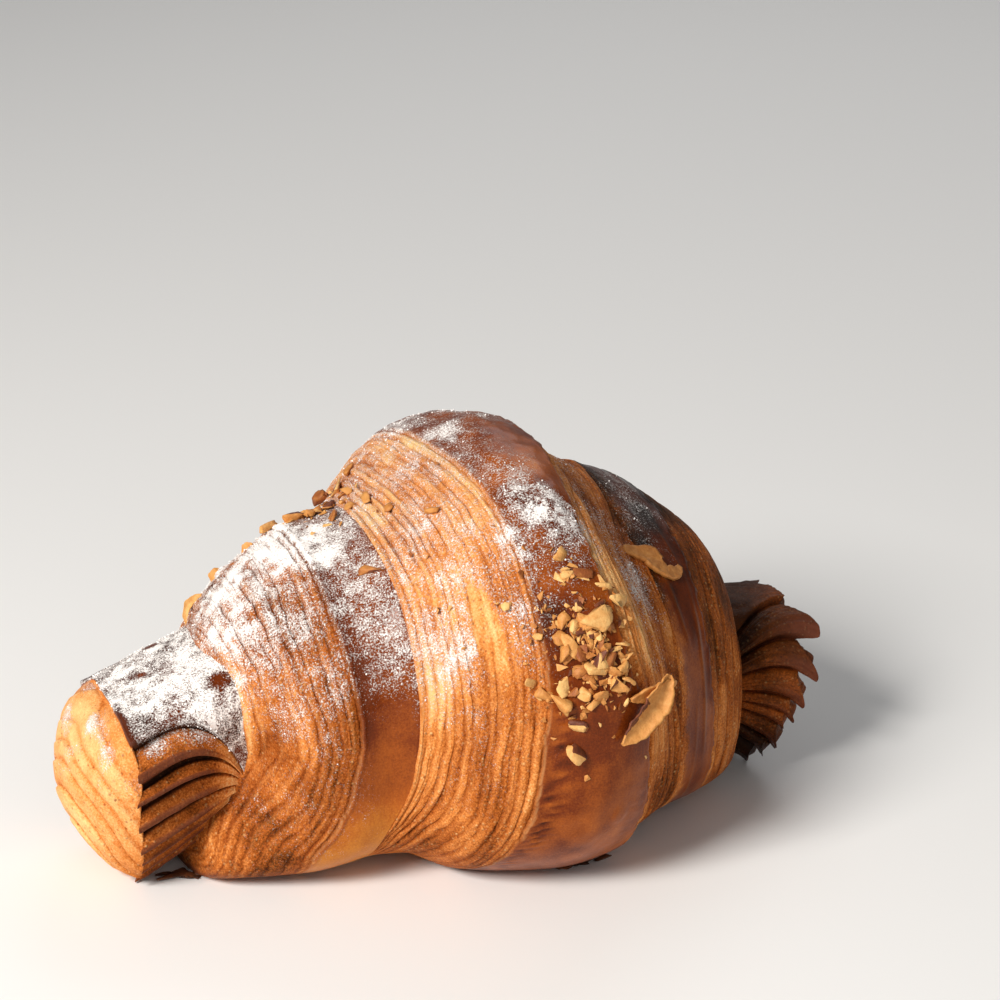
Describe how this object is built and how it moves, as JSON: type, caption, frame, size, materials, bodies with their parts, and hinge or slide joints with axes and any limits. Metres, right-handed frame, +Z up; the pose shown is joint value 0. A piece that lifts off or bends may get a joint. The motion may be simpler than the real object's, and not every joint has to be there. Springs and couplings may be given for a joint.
{
  "type": "walnut croissant",
  "caption": "Large baked croissant: a wound, layered roll with glossy skins, cut layer edges, fanned tips, chopped walnuts and icing sugar.",
  "frame": {"origin": "on the floor, under the middle of the pastry's box", "axes": "+X along the roll from its pale blunt tip to its dark fanned tip, +Y from its front to its back, +Z up"},
  "size_m": [0.1488, 0.1014, 0.0753],
  "materials": {
    "crust": "baked, satin"
  },
  "bodies": {
    "root": {"croissant": "crust"}
  },
  "joints": []
}
